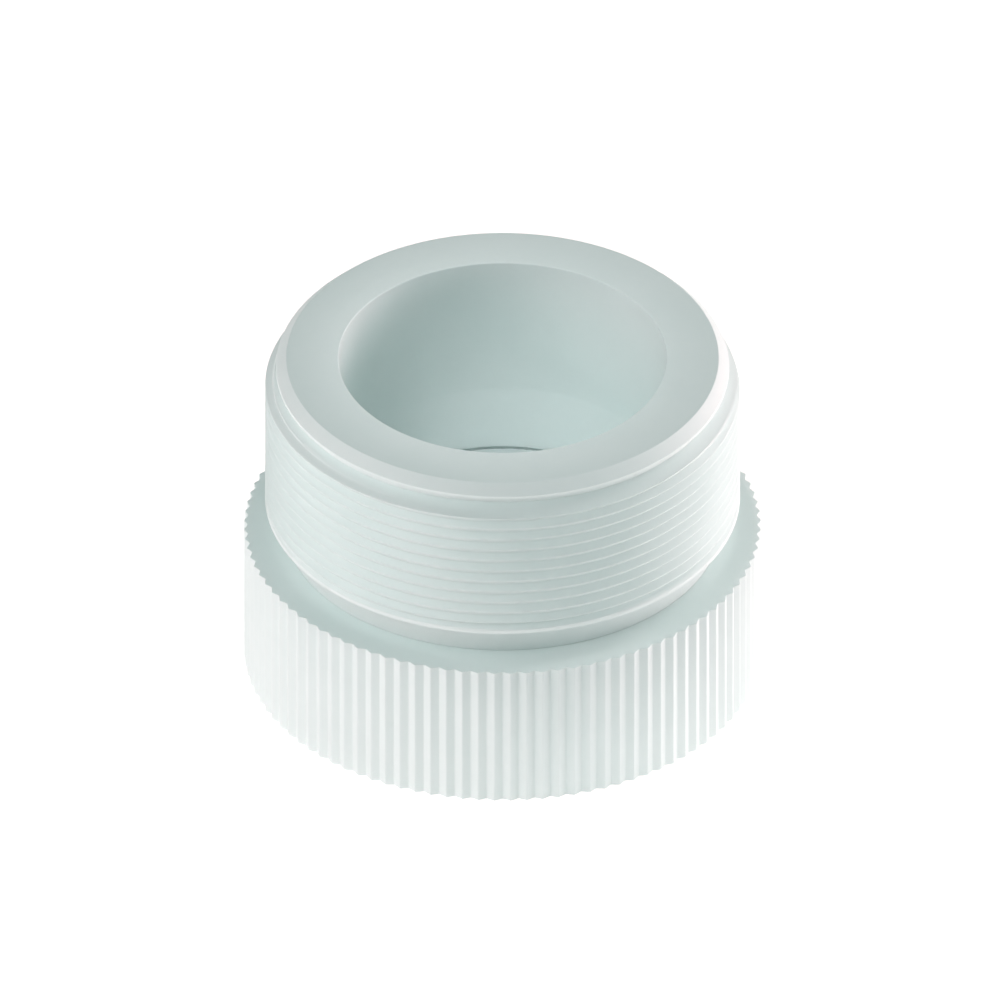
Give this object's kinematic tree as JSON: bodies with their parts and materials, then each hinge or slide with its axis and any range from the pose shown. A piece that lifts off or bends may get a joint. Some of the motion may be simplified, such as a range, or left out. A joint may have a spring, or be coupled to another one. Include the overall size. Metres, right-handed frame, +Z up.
{
  "type": "buchner filter base",
  "caption": "Screwed base stage of a plastic buchner funnel: threaded barrel with filter bowl, lift-out perforated plate and a knurled union collar that turns freely.",
  "frame": {"origin": "centre of the collar's flat foot, on the surface that the part stands on", "axes": "+Z up the axis, out of the filter bowl's mouth; the part is round, so +X and +Y are free; the snap ring's gap is at +Y"},
  "size_m": [0.061, 0.061, 0.0425],
  "materials": {
    "barrel_plastic": "satin white fluoropolymer",
    "collar_plastic": "satin white fluoropolymer",
    "plate_plastic": "satin white fluoropolymer",
    "seal_rubber": "dull black fluoroelastomer",
    "washer_plastic": "smooth white low-friction plastic",
    "ring_plastic": "satin beige engineering plastic",
    "gasket_rubber": "translucent grey silicone",
    "cone_plastic": "satin white fluoropolymer"
  },
  "bodies": {
    "barrel": {"threaded_barrel": "barrel_plastic", "plate_seal": "seal_rubber", "slip_washer": "washer_plastic", "snap_ring": "ring_plastic", "rim_gasket": "gasket_rubber", "drain_cone": "cone_plastic"},
    "collar": {"knurled_collar": "collar_plastic"},
    "plate": {"perforated_plate": "plate_plastic"}
  },
  "joints": [
    {"name": "collar_spin", "type": "hinge", "parent": "barrel", "child": "collar", "pos_m": [0, 0, 0.017], "axis": [0, 0, 1], "continuous": true},
    {"name": "plate_lift", "type": "slide", "parent": "barrel", "child": "plate", "axis": [0, 0, 1], "range_m": [0, 0.034]}
  ]
}
